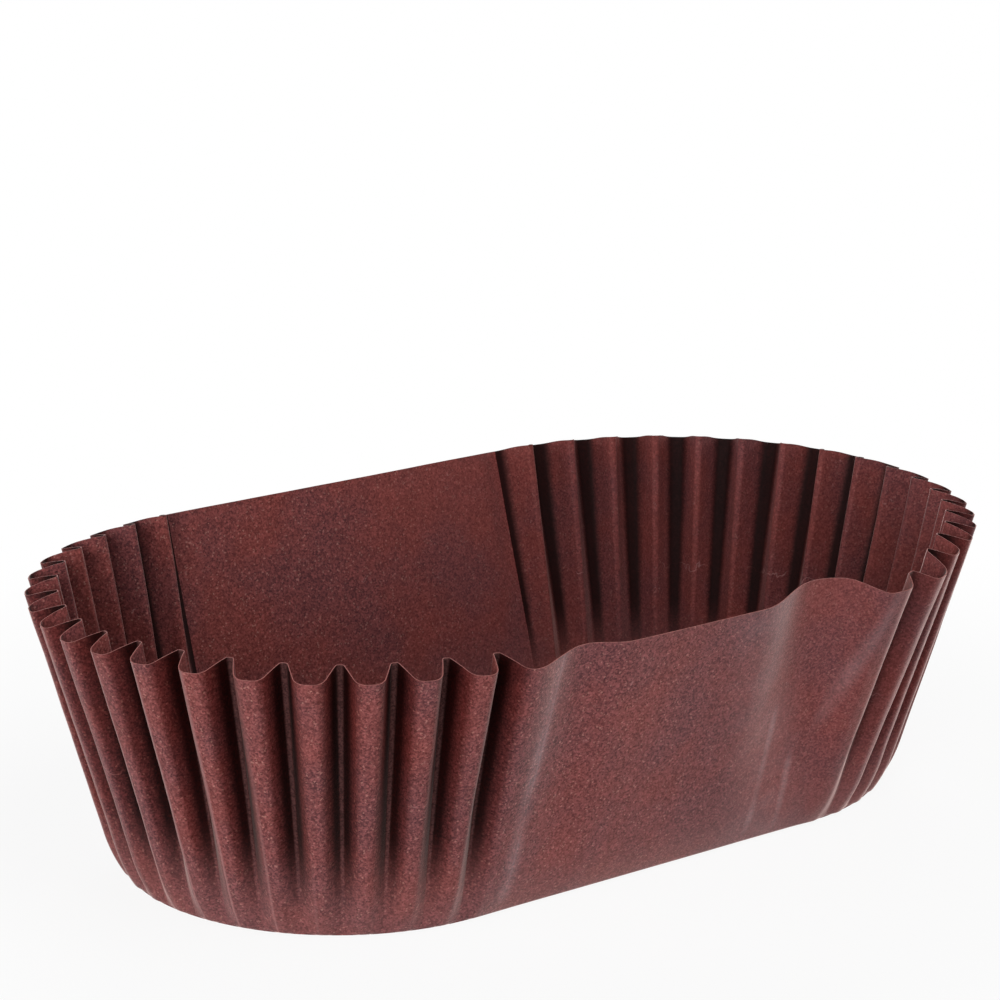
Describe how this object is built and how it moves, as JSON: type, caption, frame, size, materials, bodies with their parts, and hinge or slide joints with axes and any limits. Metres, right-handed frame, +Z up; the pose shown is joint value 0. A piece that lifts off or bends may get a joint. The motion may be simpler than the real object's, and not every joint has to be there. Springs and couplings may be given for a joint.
{
  "type": "loaf pan liner",
  "caption": "Round-ended paper baking liner with a flat foot, two plain long sides and fluted ends, made from a single sheet of brown greaseproof paper.",
  "frame": {"origin": "middle of the foot's underside, on the surface that the liner stands on", "axes": "+X along the liner's length, +Z up through the open top; the long side with the deeper inward bow faces -Y"},
  "size_m": [0.1026, 0.063, 0.0282],
  "materials": {
    "paper": "matt brown greaseproof paper"
  },
  "bodies": {
    "root": {"paper_liner": "paper"}
  },
  "joints": []
}
